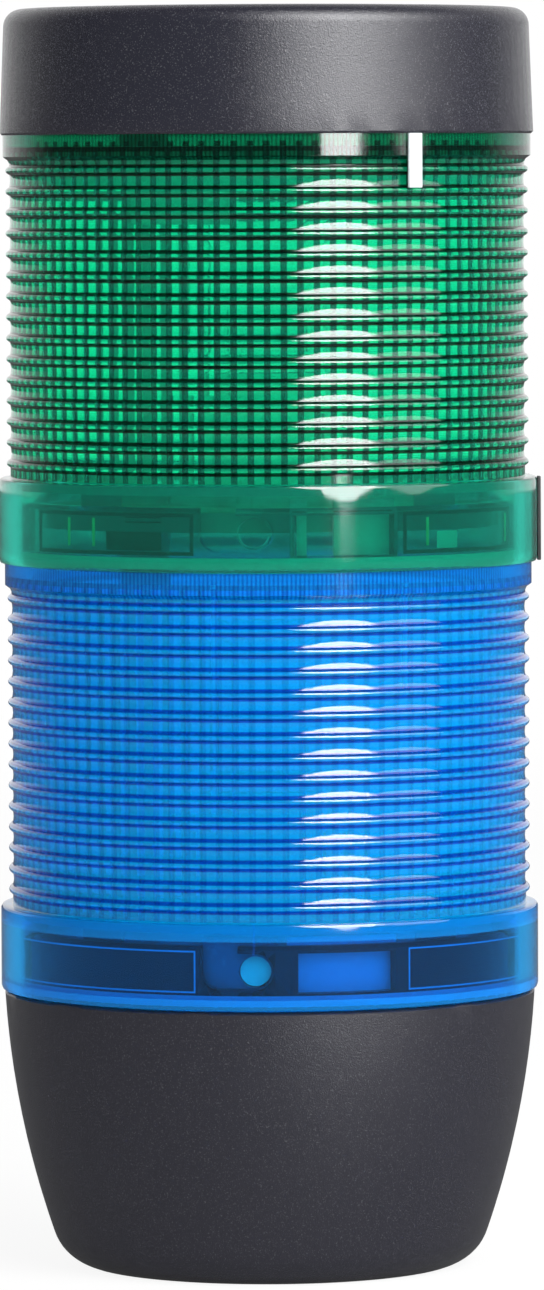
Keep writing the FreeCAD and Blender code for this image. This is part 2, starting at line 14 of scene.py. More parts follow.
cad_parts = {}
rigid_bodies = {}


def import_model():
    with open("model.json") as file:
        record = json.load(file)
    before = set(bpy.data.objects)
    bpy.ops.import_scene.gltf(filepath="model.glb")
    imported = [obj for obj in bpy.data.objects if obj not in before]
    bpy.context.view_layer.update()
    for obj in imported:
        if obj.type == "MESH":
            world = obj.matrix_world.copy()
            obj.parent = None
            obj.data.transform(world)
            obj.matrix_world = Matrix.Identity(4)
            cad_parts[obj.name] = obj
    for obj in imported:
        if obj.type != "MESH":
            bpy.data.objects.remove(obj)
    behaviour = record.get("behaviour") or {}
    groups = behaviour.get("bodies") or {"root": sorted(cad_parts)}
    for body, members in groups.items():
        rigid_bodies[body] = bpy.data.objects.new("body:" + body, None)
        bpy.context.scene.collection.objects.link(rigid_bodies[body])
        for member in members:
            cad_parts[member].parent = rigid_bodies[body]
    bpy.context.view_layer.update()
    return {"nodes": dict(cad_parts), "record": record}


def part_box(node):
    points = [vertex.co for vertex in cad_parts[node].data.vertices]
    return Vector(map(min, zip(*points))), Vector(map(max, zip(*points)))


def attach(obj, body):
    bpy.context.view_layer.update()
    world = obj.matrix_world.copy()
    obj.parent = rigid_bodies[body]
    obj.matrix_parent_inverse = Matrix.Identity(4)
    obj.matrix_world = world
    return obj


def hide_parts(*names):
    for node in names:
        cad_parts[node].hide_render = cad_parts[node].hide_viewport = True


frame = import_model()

print("nodes:", len(frame["nodes"]))

# %% [markdown]
# Each module is the same moulding at another height. Its foot, pitch, neck and collar radius are read
# from the frame; the lesson gives the other sizes that shape the wall: collar, ribs, flutes and edges.

# %% Levels and radii, in metres
MM = 0.001


def box_of(node):
    low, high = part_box(node)
    return Vector(low), Vector(high)


LENS_LOW, LENS_HIGH = box_of("blue_lens")
PITCH = box_of("green_lens")[0].z - LENS_LOW.z
COLLAR_RADIUS = LENS_HIGH.x
COLLAR_HEIGHT = 11.1 * MM
NECK_HEIGHT = LENS_HIGH.z - LENS_LOW.z - PITCH
NECK_RADIUS = box_of("blue_seal")[1].x
NECK_INSIDE = NECK_RADIUS - 1.8 * MM
BORE_RADIUS = NECK_RADIUS + 0.08 * MM
LENS_RADIUS = 33.45 * MM
WALL_INSIDE = 31.9 * MM
BAND_RADIUS = 34.27 * MM
BAND_HEIGHT = 2.8 * MM
RIB_COUNT = 15
RIB_PITCH = 2.71 * MM
RIB_START = 1.9 * MM
RIB_HEIGHT = 0.5 * MM
RIB_WIDTH = 1.1 * MM
FLUTE_COUNT = 96
SEAL_LEVEL = 0.6 * MM
SEAL_HEIGHT = 1.3 * MM
SEAL_DEPTH = 0.9 * MM
print("module pitch %.1f mm, collar radius %.1f mm" % (PITCH / MM, COLLAR_RADIUS / MM))

# %% [markdown]
# Operators act on whatever is selected, and the CAD nodes come in selected. These helpers start
# each step from a clean slate and name what a step has made.

# %% Small helpers


def clear_selection():
    if bpy.context.mode != "OBJECT":
        bpy.ops.object.mode_set(mode="OBJECT")
    bpy.ops.object.select_all(action="DESELECT")


def pick(piece):
    clear_selection()
    piece.select_set(True)
    bpy.context.view_layer.objects.active = piece


def apply_modifier(piece, kind, **settings):
    pick(piece)
    modifier = piece.modifiers.new(kind.title(), kind)
    for name, value in settings.items():
        setattr(modifier, name, value)
    bpy.ops.object.modifier_apply(modifier=modifier.name)


def settle(piece, name):
    """Bake the piece's place into its mesh and give both one name."""
    pick(piece)
    bpy.ops.object.transform_apply(location=True, rotation=True, scale=True)
    piece.name = name
    piece.data.name = name
    return piece


def finish_with(piece, material):
    piece.data.materials.clear()
    piece.data.materials.append(material)


def report(piece):
    print("%s: %d faces" % (piece.name, len(piece.data.polygons)))


# %% [markdown]
# The black shells and the small inner parts already have their true shape in the frame. A copy of
# such a mesh only needs its loose triangles merged and its round faces shaded smooth.

# %% A smooth copy of a CAD node


def smooth_copy(node, name, body, sharp=32):
    source = bpy.data.objects[node]
    piece = source.copy()
    piece.data = source.data.copy()
    bpy.context.scene.collection.objects.link(piece)
    piece.hide_render = False
    piece.hide_set(False)
    pick(piece)
    bpy.ops.object.mode_set(mode="EDIT")
    bpy.ops.mesh.select_all(action="SELECT")
    bpy.ops.mesh.remove_doubles(threshold=0.002 * MM)
    bpy.ops.mesh.tris_convert_to_quads()
    bpy.ops.object.mode_set(mode="OBJECT")
    bpy.ops.object.shade_smooth_by_angle(angle=math.radians(sharp))
    apply_modifier(piece, "WEIGHTED_NORMAL", keep_sharp=True)
    settle(piece, name)
    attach(piece, body)
    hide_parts(node)
    return piece


# %% [markdown]
# ## Finishes
# Every material is built from nodes on Object coordinates. Two effects are shared: a fine grain
# for the plastics and metals, and a grid of painted shade that darkens the clear walls along the
# ribs and flutes, where light would be bent away.

# %% Node helpers


def new_material(name):
    material = bpy.data.materials.new(name)
    material.use_nodes = True
    nodes = material.node_tree.nodes
    shader = nodes["Principled BSDF"]
    return material, nodes, material.node_tree.links, shader


def maths(tree, operation, first, second=None):
    node = tree.nodes.new("ShaderNodeMath")
    node.operation = operation
    for index, value in enumerate((first, second)):
        if value is None:
            continue
        if isinstance(value, (int, float)):
            node.inputs[index].default_value = value
        else:
            tree.links.new(value, node.inputs[index])
    return node.outputs[0]


def product(tree, first, *others):
    for other in others:
        first = maths(tree, "MULTIPLY", first, other)
    return first


def set_inputs(node, values):
    for name, value in values.items():
        node.inputs[name].default_value = value


def new_group(name, inputs, outputs):
    group = bpy.data.node_groups.new(name, "ShaderNodeTree")
    for title, kind, value in inputs:
        socket = group.interface.new_socket(title, in_out="INPUT", socket_type=kind)
        if value is not None:
            socket.default_value = value
    for title, kind in outputs:
        group.interface.new_socket(title, in_out="OUTPUT", socket_type=kind)
    start = group.nodes.new("NodeGroupInput")
    end = group.nodes.new("NodeGroupOutput")
    return group, start, end


def place_group(tree, group, **values):
    node = tree.nodes.new("ShaderNodeGroup")
    node.node_tree = group
    for name, value in values.items():
        socket = node.inputs[name.replace("_", " ")]
        if hasattr(value, "links"):
            tree.links.new(value, socket)
        else:
            socket.default_value = value
    return node


def object_coordinates(tree):
    return tree.nodes.new("ShaderNodeTexCoord").outputs["Object"]


def blend_colour(tree, mask, first, second):
    """Mix two colours, or two colour sockets, by a mask."""
    mix = tree.nodes.new("ShaderNodeMix")
    mix.data_type = "RGBA"
    tree.links.new(mask, mix.inputs[0])
    for socket, value in ((mix.inputs[6], first), (mix.inputs[7], second)):
        if isinstance(value, tuple):
            socket.default_value = (*value, 1)
        else:
            tree.links.new(value, socket)
    return mix.outputs[2]


def bump_surface(tree, shader, height, strength, distance):
    bump = tree.nodes.new("ShaderNodeBump")
    set_inputs(bump, {"Strength": strength, "Distance": distance})
    tree.links.new(height, bump.inputs["Height"])
    tree.links.new(bump.outputs["Normal"], shader.inputs["Normal"])


# %% [markdown]
# The grain is a noise with small pits in it. Its Height goes into a bump, and its Fleck picks out
# the few spots that are a little lighter or duller than the rest.

# %% Shared effect: moulded grain
PIT_FINENESS = 1.6
PIT_SHARE = 0.35
FLECK_LEVEL = 0.62

grain, grain_in, grain_out = new_group(
    "moulded_grain",
    [("Vector", "NodeSocketVector", None), ("Scale", "NodeSocketFloat", 2500.0)],
    [("Height", "NodeSocketFloat"), ("Fleck", "NodeSocketFloat")],
)
noise = grain.nodes.new("ShaderNodeTexNoise")
set_inputs(noise, {"Detail": 3.0, "Roughness": 0.6})
cells = grain.nodes.new("ShaderNodeTexVoronoi")
cells.feature = "F1"
pit_scale = maths(grain, "MULTIPLY", grain_in.outputs["Scale"], PIT_FINENESS)
grain.links.new(grain_in.outputs["Vector"], noise.inputs["Vector"])
grain.links.new(grain_in.outputs["Scale"], noise.inputs["Scale"])
grain.links.new(grain_in.outputs["Vector"], cells.inputs["Vector"])
grain.links.new(pit_scale, cells.inputs["Scale"])
pits = maths(grain, "MULTIPLY", cells.outputs["Distance"], PIT_SHARE)
fleck = maths(grain, "GREATER_THAN", noise.outputs["Fac"], FLECK_LEVEL)
grain.links.new(maths(grain, "ADD", noise.outputs["Fac"], pits), grain_out.inputs["Height"])
grain.links.new(fleck, grain_out.inputs["Fleck"])
print("grain group:", len(grain.nodes), "nodes")

# %% [markdown]
# Each output of the grid group is a mask for painted shade. Groove marks the upright grooves of the
# inner side, and Flank the flanks of the ribs outside. Band is the plain shoulder above them, and
# Stripe the fine upright stripes of painted shade on it. Collar is all that lies below Foot, the
# level where the ribs begin.

# %% Shared effect: the grid of painted shade in a clear wall
INNER_SIDE = 32.7 * MM
OUTER_SIDE = 33.0 * MM
WALL_TOP = 43.5 * MM
BAND_FOOT = 41.1 * MM
GROOVE_HALF_WIDTH = 0.235
GROOVE_EDGE = 18.0
FLANK_MIDDLE = 0.19
FLANK_HALF_WIDTH = 0.115
FLANK_EDGE = 24.0
STRIPE_SWING = 0.45
STRIPE_MIDDLE = 0.35
# Half a period puts a groove or a rib in the middle; whole periods keep the value positive.
FLUTE_SHIFT = FLUTE_COUNT + 0.5
RIB_SHIFT = 10.5


def from_middle(tree, value):
    """How far a repeating value is from the middle of its period."""
    return maths(tree, "ABSOLUTE", maths(tree, "SUBTRACT", maths(tree, "FRACT", value), 0.5))


def line_mask(tree, distance, half_width, edge):
    """1 on a line and 0 beside it, with a soft edge."""
    mask = maths(tree, "MULTIPLY", maths(tree, "SUBTRACT", half_width, distance), edge)
    return maths(tree, "MAXIMUM", maths(tree, "MINIMUM", mask, 1.0), 0.0)


grid, grid_in, grid_out = new_group(
    "wall_grid",
    [("Vector", "NodeSocketVector", None), ("Foot", "NodeSocketFloat", 0.0)],
    [(title, "NodeSocketFloat") for title in ("Groove", "Flank", "Band", "Stripe", "Collar")],
)
axes = grid.nodes.new("ShaderNodeSeparateXYZ")
grid.links.new(grid_in.outputs["Vector"], axes.inputs[0])
squares = [maths(grid, "POWER", axes.outputs[title], 2.0) for title in "XY"]
radius = maths(grid, "SQRT", maths(grid, "ADD", *squares))
inner = maths(grid, "LESS_THAN", radius, INNER_SIDE)
outer = maths(grid, "GREATER_THAN", radius, OUTER_SIDE)
rise = maths(grid, "SUBTRACT", axes.outputs["Z"], grid_in.outputs["Foot"])
above_foot = maths(grid, "GREATER_THAN", rise, 0.0)
wall = maths(grid, "MULTIPLY", above_foot, maths(grid, "LESS_THAN", rise, WALL_TOP))
shoulder = maths(grid, "MULTIPLY", maths(grid, "GREATER_THAN", rise, BAND_FOOT), outer)

to_front = maths(grid, "MULTIPLY", axes.outputs["Y"], -1.0)
turn = maths(grid, "ARCTAN2", axes.outputs["X"], to_front)
flutes = maths(grid, "MULTIPLY", turn, FLUTE_COUNT / math.tau)
from_groove = from_middle(grid, maths(grid, "ADD", flutes, FLUTE_SHIFT))
groove = line_mask(grid, from_groove, GROOVE_HALF_WIDTH, GROOVE_EDGE)
wave = maths(grid, "SINE", maths(grid, "MULTIPLY", turn, FLUTE_COUNT * 4.0))
stripe = maths(grid, "ADD", maths(grid, "MULTIPLY", wave, STRIPE_SWING), STRIPE_MIDDLE)

ribs = maths(grid, "DIVIDE", maths(grid, "SUBTRACT", rise, RIB_START), RIB_PITCH)
from_rib = from_middle(grid, maths(grid, "ADD", ribs, RIB_SHIFT))
from_flank = maths(grid, "ABSOLUTE", maths(grid, "SUBTRACT", from_rib, FLANK_MIDDLE))
flank = line_mask(grid, from_flank, FLANK_HALF_WIDTH, FLANK_EDGE)

for title, mask in (
        ("Groove", product(grid, groove, inner, wall)),
        ("Flank", product(grid, flank, outer, wall)),
        ("Band", shoulder),
        ("Stripe", product(grid, shoulder, maths(grid, "MAXIMUM", stripe, 0.0))),
        ("Collar", maths(grid, "LESS_THAN", rise, 0.0))):
    grid.links.new(mask, grid_out.inputs[title])
print("grid group:", len(grid.nodes), "nodes")

# %% [markdown]
# The clear plastic takes its tint and its painted shade from these masks: dark lines on the grooves
# and flanks where light would be bent away, a darker band with painted stripes, and a darker collar.
# A ray meets a rib's flank as it enters the wall and a groove as it leaves, so each mask counts only
# on that side of the surface.

# %% Clear tinted plastic


def clear_plastic(name, tint, painted_shade, band_shade, collar, foot, clearness):
    material, nodes, links, shader = new_material(name)
    tree = material.node_tree
    place = object_coordinates(tree)
    lines = place_group(tree, grid, Vector=place, Foot=foot)
    leaving = nodes.new("ShaderNodeNewGeometry").outputs["Backfacing"]
    entering = maths(tree, "SUBTRACT", 1.0, leaving)
    # Painted shade: dark lines on the inner grooves and the rib flanks, where light would be bent away.
    groove_shade = maths(tree, "MULTIPLY", lines.outputs["Groove"], leaving)
    flank_shade = maths(tree, "MULTIPLY", lines.outputs["Flank"], entering)
    colour = blend_colour(tree, maths(tree, "MAXIMUM", groove_shade, flank_shade), tint, painted_shade)
    # Painted shade: a darker band with stripes of painted shade, where the dark parts behind the shoulder
    # show.
    for title, other in (("Band", band_shade), ("Stripe", painted_shade), ("Collar", collar)):
        colour = blend_colour(tree, lines.outputs[title], colour, other)
    links.new(colour, shader.inputs["Base Color"])
    ripple = nodes.new("ShaderNodeTexNoise")
    set_inputs(ripple, {"Scale": 260.0, "Detail": 2.0})
    links.new(place, ripple.inputs["Vector"])
    bump_surface(tree, shader, ripple.outputs["Fac"], 0.1, 0.05 * MM)
    set_inputs(shader, {"Transmission Weight": clearness, "Metallic": 0.0, "Roughness": 0.08, "IOR": 1.5})
    return material


GREEN_FOOT = LENS_LOW.z + PITCH + COLLAR_HEIGHT
BLUE_FOOT = LENS_LOW.z + COLLAR_HEIGHT
# The dark, band and collar colours below are painted shade: band and collar are darker where the dark neck
# and parts behind show.
green_wall = clear_plastic(
    "clear_green_wall", tint=(0.012, 0.90, 0.57), painted_shade=(0.0, 0.009, 0.004),
    band_shade=(0.0, 0.20, 0.12), collar=(0.03, 0.60, 0.45), foot=GREEN_FOOT, clearness=0.95)
green_collar = clear_plastic(
    "clear_green_collar", tint=(0.012, 1.0, 0.64), painted_shade=(0.0, 0.012, 0.005),
    band_shade=(0.0, 0.10, 0.05), collar=(0.03, 0.66, 0.50), foot=GREEN_FOOT, clearness=0.975)
blue_wall = clear_plastic(
    "clear_blue_wall", tint=(0.001, 0.50, 1.0), painted_shade=(0.0, 0.08, 0.54),
    band_shade=(0.0, 0.36, 1.0), collar=(0.001, 0.35, 1.0), foot=BLUE_FOOT, clearness=0.75)
blue_collar = clear_plastic(
    "clear_blue_collar", tint=(0.002, 0.50, 1.0), painted_shade=(0.0, 0.07, 0.50),
    band_shade=(0.0, 0.26, 0.95), collar=(0.002, 0.44, 1.0), foot=BLUE_FOOT, clearness=0.995)
blue_neck = clear_plastic(
    "clear_blue_neck", tint=(0.03, 0.62, 0.70), painted_shade=(0.03, 0.62, 0.70),
    band_shade=(0.02, 0.60, 0.62), collar=(0.03, 0.62, 0.70), foot=BLUE_FOOT, clearness=0.98)
print("clear plastics ready")

# %% [markdown]
# All the other surfaces are plain plastic or metal. They differ in colour, in how rough they are,
# and in how fine and deep their grain is.

# %% Plain finishes
TARNISH = 0.75


def plastic(name, colour, fleck, roughness, grain_scale, depth, shine=0.5):
    material, nodes, links, shader = new_material(name)
    tree = material.node_tree
    texture = place_group(tree, grain, Vector=object_coordinates(tree), Scale=grain_scale)
    mixed = blend_colour(tree, texture.outputs["Fleck"], colour, fleck)
    links.new(mixed, shader.inputs["Base Color"])
    bump_surface(tree, shader, texture.outputs["Height"], 0.5, depth)
    set_inputs(shader, {"Roughness": roughness, "Specular IOR Level": shine})
    return material


def metal(name, colour, roughness):
    material, nodes, links, shader = new_material(name)
    tree = material.node_tree
    texture = place_group(tree, grain, Vector=object_coordinates(tree), Scale=900.0)
    dull = tuple(TARNISH * channel for channel in colour)
    links.new(blend_colour(tree, texture.outputs["Fleck"], colour, dull), shader.inputs["Base Color"])
    bump_surface(tree, shader, texture.outputs["Height"], 0.2, 0.02 * MM)
    set_inputs(shader, {"Metallic": 1.0, "Roughness": roughness})
    return material


def outer_plastic(name, colour, fleck, roughness, shine):
    return plastic(name, colour, fleck, roughness, 5200.0, 0.11 * MM, shine)


def inner_plastic(name, colour, fleck, roughness):
    return plastic(name, colour, fleck, roughness, 1500.0, 0.02 * MM)


black_shell = outer_plastic(
    "grained_black_plastic", (0.0155, 0.0155, 0.0225), (0.05, 0.05, 0.058), 0.29, 0.5)
black_cap = outer_plastic("satin_black_plastic", (0.015, 0.015, 0.022), (0.06, 0.06, 0.068), 0.2, 0.46)
black_top = outer_plastic("matt_black_top", (0.019, 0.019, 0.0265), (0.05, 0.05, 0.058), 0.6, 0.0)
white_moulding = inner_plastic("white_inner_plastic", (0.9, 0.91, 0.9), (0.93, 0.94, 0.93), 0.45)
dark_moulding = inner_plastic("dark_inner_plastic", (0.012, 0.012, 0.013), (0.02, 0.02, 0.02), 0.5)
grey_moulding = inner_plastic("grey_inner_plastic", (0.32, 0.33, 0.32), (0.4, 0.41, 0.4), 0.45)
pale_moulding = inner_plastic("pale_inner_plastic", (0.62, 0.62, 0.58), (0.7, 0.7, 0.66), 0.45)
pale_rubber = plastic(
    "pale_seal_rubber", (0.7, 0.72, 0.7), (0.76, 0.78, 0.76), 0.6, 1200.0, 0.02 * MM)
white_plastic = plastic(
    "white_mark_plastic", (0.60, 0.65, 0.67), (0.66, 0.70, 0.72), 0.35, 1800.0, 0.01 * MM)
black_mark = plastic(
    "black_mark_plastic", (0.01, 0.01, 0.011), (0.02, 0.02, 0.02), 0.4, 1800.0, 0.01 * MM)
brass = metal("contact_brass", (0.78, 0.58, 0.26), 0.28)
nickel = metal("plated_sleeve", (0.62, 0.61, 0.58), 0.32)
steel = metal("blackened_steel", (0.12, 0.12, 0.13), 0.4)

# %% Bulb glass
bulb_glass, glass_nodes, glass_links, glass_shader = new_material("bulb_glass")
glass_tree = bulb_glass.node_tree
haze = place_group(glass_tree, grain, Vector=object_coordinates(glass_tree), Scale=400.0)
glass_colour = blend_colour(
    glass_tree, haze.outputs["Fleck"], (0.96, 0.98, 0.98), (0.9, 0.94, 0.95))
glass_links.new(glass_colour, glass_shader.inputs["Base Color"])
set_inputs(glass_shader, {"Transmission Weight": 1.0, "Roughness": 0.02, "IOR": 1.5})
print("materials:", len(bpy.data.materials))

# %% [markdown]
# ## The clear mouldings
# One injection moulding makes the collar, the ribbed wall and the neck. Its section is drawn once
# as a closed line and spun round the axis. Four steps go into each flute, so that the inner side
# can then be pushed into 96 shallow pillows with a sharp groove between them.

# %% The section of a module


def rib_points(middle):
    """Seven points up one rib, from foot to foot over a rounded crest."""
    half = RIB_WIDTH / 2
    shape = [(-1.0, 0.0), (-0.72, 0.5), (-0.38, 0.88), (0.0, 1.0), (0.38, 0.88), (0.72, 0.5), (1.0, 0.0)]
    return [(LENS_RADIUS + RIB_HEIGHT * out, middle + half * along) for along, out in shape]


SHOULDER_LEVEL = PITCH - 1.6 * MM
WINDOW_LOW = 1.5 * MM
WINDOW_HIGH = COLLAR_HEIGHT - 2.2 * MM


def module_section():
    """The closed section, as points of radius and level above the moulding's foot."""
    edge = 0.45 * MM
    chamfer = 0.6 * MM
    fillet = 0.15 * MM
    neck_chamfer = 0.5 * MM
    band_low = PITCH - BAND_HEIGHT
    neck_top = PITCH + NECK_HEIGHT
    seal_low = PITCH + SEAL_LEVEL
    seal_high = PITCH + SEAL_LEVEL + SEAL_HEIGHT
    dip = 0.12 * MM
    points = [
        (BORE_RADIUS, 0),
        (COLLAR_RADIUS - chamfer, 0),
        (COLLAR_RADIUS - chamfer * 0.25, chamfer * 0.3),
        (COLLAR_RADIUS, chamfer),
        (COLLAR_RADIUS, WINDOW_LOW),
        (COLLAR_RADIUS, WINDOW_HIGH),
        (COLLAR_RADIUS, COLLAR_HEIGHT - edge),
        (COLLAR_RADIUS - edge * 0.3, COLLAR_HEIGHT - edge * 0.3),
        (COLLAR_RADIUS - edge, COLLAR_HEIGHT),
        (LENS_RADIUS + fillet, COLLAR_HEIGHT),
        (LENS_RADIUS, COLLAR_HEIGHT + fillet),
    ]
    for number in range(RIB_COUNT):
        middle = COLLAR_HEIGHT + RIB_START + RIB_PITCH * number
        points += rib_points(middle)
        if number < RIB_COUNT - 1:
            for share, deep in ((0.3, 0.55), (0.5, 1.0), (0.7, 0.55)):
                points.append((LENS_RADIUS - dip * deep, middle + RIB_PITCH * share))
    points += [
        (LENS_RADIUS, band_low - 0.9 * MM),
        (LENS_RADIUS + 0.2 * MM, band_low - 0.45 * MM),
        (BAND_RADIUS, band_low),
        (BAND_RADIUS, PITCH),
        (NECK_RADIUS, PITCH),
        (NECK_RADIUS, seal_low),
        (NECK_RADIUS - SEAL_DEPTH, seal_low),
        (NECK_RADIUS - SEAL_DEPTH, seal_high),
        (NECK_RADIUS, seal_high),
        (NECK_RADIUS, neck_top - neck_chamfer),
        (NECK_RADIUS - neck_chamfer, neck_top),
        (NECK_INSIDE, neck_top),
        (NECK_INSIDE, SHOULDER_LEVEL),
        (WALL_INSIDE - chamfer, SHOULDER_LEVEL),
        (WALL_INSIDE, SHOULDER_LEVEL - chamfer),
        (WALL_INSIDE, COLLAR_HEIGHT + 0.5 * MM),
        (WALL_INSIDE, COLLAR_HEIGHT),
        (BORE_RADIUS, COLLAR_HEIGHT),
    ]
    return points


SECTION = module_section()
print("section:", len(SECTION), "points")

# %% Spin it
STEPS_IN_FLUTE = 4
STEPS = FLUTE_COUNT * STEPS_IN_FLUTE
section_mesh = bpy.data.meshes.new("module")
section_mesh.from_pydata(
    [(r, 0, z) for r, z in SECTION],
    [(i, (i + 1) % len(SECTION)) for i in range(len(SECTION))],
    [],
)
module = bpy.data.objects.new("module", section_mesh)
bpy.context.scene.collection.objects.link(module)
pick(module)
bpy.ops.object.mode_set(mode="EDIT")
bpy.ops.mesh.select_all(action="SELECT")
bpy.ops.mesh.spin(steps=STEPS, angle=math.tau, center=(0, 0, 0), axis=(0, 0, 1))
bpy.ops.mesh.select_all(action="SELECT")
bpy.ops.mesh.remove_doubles(threshold=0.005 * MM)
bpy.ops.mesh.normals_make_consistent(inside=False)
bpy.ops.object.mode_set(mode="OBJECT")
report(module)

# %% Push the inner side into flutes
GROOVE_DEPTH = 0.1 * MM
PILLOW = 0.12 * MM
GROOVE_SHARE = 0.13


def flute_place(step):
    """Where one of the four steps of a flute goes: share of the pitch, and change of radius."""
    places = ((0.0, GROOVE_DEPTH), (GROOVE_SHARE, 0.0), (0.5, -PILLOW), (1 - GROOVE_SHARE, 0.0))
    return places[step % STEPS_IN_FLUTE]


shape = bmesh.new()
shape.from_mesh(module.data)
for vertex in shape.verts:
    distance = math.hypot(vertex.co.x, vertex.co.y)
    step = round(math.atan2(vertex.co.y, vertex.co.x) / math.tau * STEPS)
    share, change = flute_place(step)
    angle = ((step // STEPS_IN_FLUTE) + share) / FLUTE_COUNT * math.tau
    fluted = abs(distance - WALL_INSIDE) < 0.02 * MM
    fluted = fluted and COLLAR_HEIGHT - 0.1 * MM < vertex.co.z < SHOULDER_LEVEL
    if fluted:
        distance += change
    vertex.co.x = distance * math.cos(angle)
    vertex.co.y = distance * math.sin(angle)
shape.to_mesh(module.data)
shape.free()
print("flutes:", FLUTE_COUNT)

# %% [markdown]
# The neck has the cut-outs that make the bayonet work: three J slots, a window for the contacts
# and two keyways. They are cut with solid shapes, as the tool of the mould would leave them. A J
# slot's cutter is one closed outline pushed through the wall, and the others are plain blocks.
# Each is taken away by a Boolean of its own, and the three lugs are added the same way.

# %% Cutters for the neck
LUG_COUNT = 3
LUG_RADIUS = 2.0 * MM
LUG_LEVEL = 5.0 * MM
LUG_ROOT = 0.6 * MM
LUG_EDGE = 0.25 * MM
LUG_ANGLE = math.radians(3.2)
TWIST = math.radians(8.0)
GAP = 0.3 * MM
WINDOW_ANGLE = math.radians(17.5)
WINDOW_WIDTH = 12.6 * MM
WINDOW_RIM = 0.9 * MM
KEY_ANGLE = math.radians(67)
KEY_WIDTH = 2.2 * MM


def block(low, high, turn=0.0):
    """A box from its corners, turned about the tower's axis."""
    clear_selection()
    bpy.ops.mesh.primitive_cube_add(size=1)
    piece = bpy.context.object
    low, high = Vector(low), Vector(high)
    stretch = Matrix.Diagonal((*(high - low), 1))
    place = Matrix.Translation((low + high) / 2)
    piece.data.transform(Matrix.Rotation(turn, 4, "Z") @ place @ stretch)
    return piece


def peg(radius, start, end, level, turn, vertices=32):
    """A round bar that points outwards at the front, then is turned about the tower's axis."""
    clear_selection()
    bpy.ops.mesh.primitive_cylinder_add(radius=radius, depth=end - start, vertices=vertices)
    piece = bpy.context.object
    lay = Matrix.Rotation(math.radians(90), 4, "X")
    place = Matrix.Translation((0, -(start + end) / 2, level))
    piece.data.transform(Matrix.Rotation(turn, 4, "Z") @ place @ lay)
    return piece


def join(pieces, name):
    clear_selection()
    for piece in pieces:
        piece.select_set(True)
    bpy.context.view_layer.objects.active = pieces[0]
    if len(pieces) > 1:
        bpy.ops.object.join()
    return settle(bpy.context.object, name)


def arc(across, level, radius, start, end, steps=10):
    """Points along a part of a circle, with both angles in degrees."""
    turns = [math.radians(start + (end - start) * i / steps) for i in range(steps + 1)]
    return [(across + radius * math.cos(turn), level + radius * math.sin(turn)) for turn in turns]


def slot_cutter(near, far, above, turn):
    """The J slot as one closed outline, extruded outwards through the neck."""
    width = LUG_RADIUS + GAP
    level = PITCH + LUG_LEVEL
    reach = NECK_RADIUS * math.sin(TWIST / 2)
    outline = [(-reach - width, above)]
    outline += arc(-reach, level, width, 180, 270)
    outline += arc(reach, level, width, 270, 450)
    outline += [(width - reach, level + width), (width - reach, above)]
    edges = [(i, (i + 1) % len(outline)) for i in range(len(outline))]
    mesh = bpy.data.meshes.new("slot_cutter")
    mesh.from_pydata([(x, -near, z) for x, z in outline], edges, [])
    piece = bpy.data.objects.new("slot_cutter", mesh)
    bpy.context.scene.collection.objects.link(piece)
    pick(piece)
    bpy.ops.object.mode_set(mode="EDIT")
    bpy.ops.mesh.select_all(action="SELECT")
    bpy.ops.mesh.edge_face_add()
    bpy.ops.mesh.extrude_region_move(TRANSFORM_OT_translate={"value": (0, near - far, 0)})
    bpy.ops.mesh.select_all(action="SELECT")
    bpy.ops.mesh.normals_make_consistent(inside=False)
    bpy.ops.object.mode_set(mode="OBJECT")
    piece.data.transform(Matrix.Rotation(turn, 4, "Z"))
    return piece


def opening(width, near, far, low, high, turn):
    """A block that cuts an upright opening through the neck."""
    return block((-width / 2, -far, low), (width / 2, -near, high), turn)


def neck_cutters():
    above = PITCH + NECK_HEIGHT + GAP
    near, far = NECK_INSIDE - MM, NECK_RADIUS + 0.5 * MM
    low = PITCH + SEAL_LEVEL + SEAL_HEIGHT + GAP
    slot_turn = -LUG_ANGLE - TWIST / 2
    cutters = [
        slot_cutter(near, far, above, slot_turn + number * math.tau / LUG_COUNT)
        for number in range(LUG_COUNT)
    ]
    window_top = above - GAP - WINDOW_RIM
    cutters.append(opening(WINDOW_WIDTH, near, far, low, window_top, WINDOW_ANGLE))
    for side in (-1, 1):
        cutters.append(opening(KEY_WIDTH, near, far, low, above, side * KEY_ANGLE))
    return cutters


def boolean(piece, operation, tool):
    """Cut with a solid, or add it, and take the solid away."""
    pick(piece)
    modifier = piece.modifiers.new("Boolean", "BOOLEAN")
    modifier.operation = operation
    modifier.solver = "EXACT"
    modifier.object = tool
    bpy.ops.object.modifier_apply(modifier=modifier.name)
    bpy.data.objects.remove(tool)


# %% Cut the neck and add the lugs
for cutter in neck_cutters():
    boolean(module, "DIFFERENCE", cutter)
report(module)


def lug(number):
    """A round peg with a softened end, rooted in the collar's wall."""
    turn = -LUG_ANGLE + number * math.tau / LUG_COUNT
    piece = peg(LUG_RADIUS, NECK_INSIDE, BORE_RADIUS + LUG_ROOT, LUG_LEVEL, turn, vertices=36)
    apply_modifier(piece, "BEVEL", width=LUG_EDGE, segments=2, limit_method="ANGLE")
    return piece


for number in range(LUG_COUNT):
    boolean(module, "UNION", lug(number))
pick(module)
bpy.ops.object.shade_smooth_by_angle(angle=math.radians(34))
apply_modifier(module, "WEIGHTED_NORMAL", keep_sharp=True)
report(module)

# %% [markdown]
# Both modules are copies of the one moulding, each at its own level. The window of the collar and
# the neck are clearer than the ribbed wall, so each has a finish of its own.

# %% Place both modules
WALL_FINISH, COLLAR_FINISH, NECK_FINISH = range(3)


